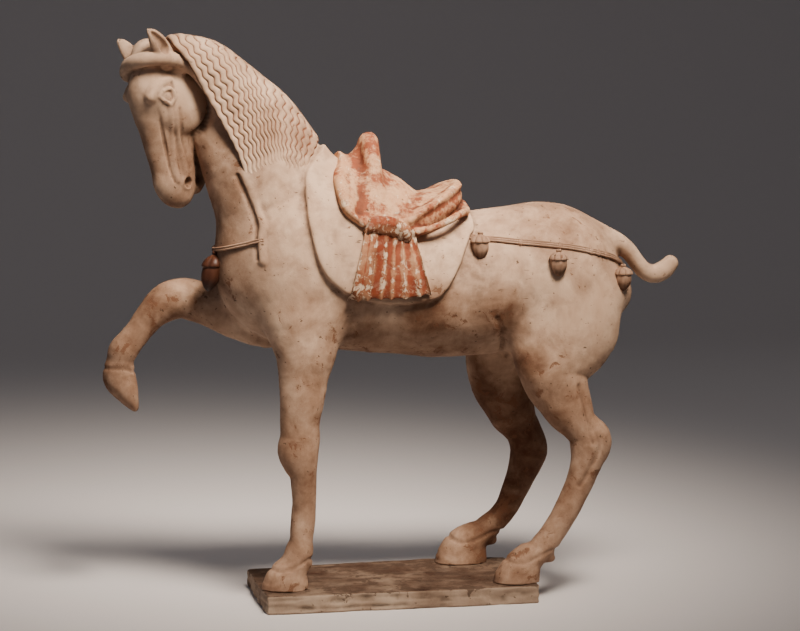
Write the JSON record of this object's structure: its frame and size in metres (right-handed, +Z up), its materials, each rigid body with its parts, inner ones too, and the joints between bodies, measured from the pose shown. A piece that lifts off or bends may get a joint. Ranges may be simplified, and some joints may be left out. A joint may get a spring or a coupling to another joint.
{
  "type": "chinese tomb horse",
  "caption": "Painted earthenware horse with a raised foreleg, wavy mane, saddle and pleated saddle cloths, standing on a thin rough slab.",
  "frame": {"origin": "on the base slab's flat underside, in the horse's middle plane and near the slab's mid length", "axes": "+Z up; the horse faces -X; its left flank, the one that the picture shows, is on -Y"},
  "size_m": [0.5772, 0.1611, 0.5612],
  "materials": {
    "bare_clay": "unglazed fired clay with traces of white slip",
    "slip_over_clay": "matt white slip over fired clay, worn and dirty",
    "red_pigment": "rubbed red earth pigment over white slip",
    "dirty_slip": "soiled white slip over fired clay",
    "brown_paint": "dark brown paint with a slight shine"
  },
  "bodies": {
    "root": {"base_slab": "bare_clay", "horse": "slip_over_clay", "saddle": "red_pigment", "tail": "slip_over_clay", "pleated_cloth_near": "red_pigment", "pleated_cloth_far": "red_pigment", "front_tassel_near": "dirty_slip", "middle_tassel_near": "dirty_slip", "rear_tassel_near": "dirty_slip", "front_tassel_far": "dirty_slip", "middle_tassel_far": "dirty_slip", "rear_tassel_far": "dirty_slip", "breast_tassel": "brown_paint"}
  },
  "joints": []
}
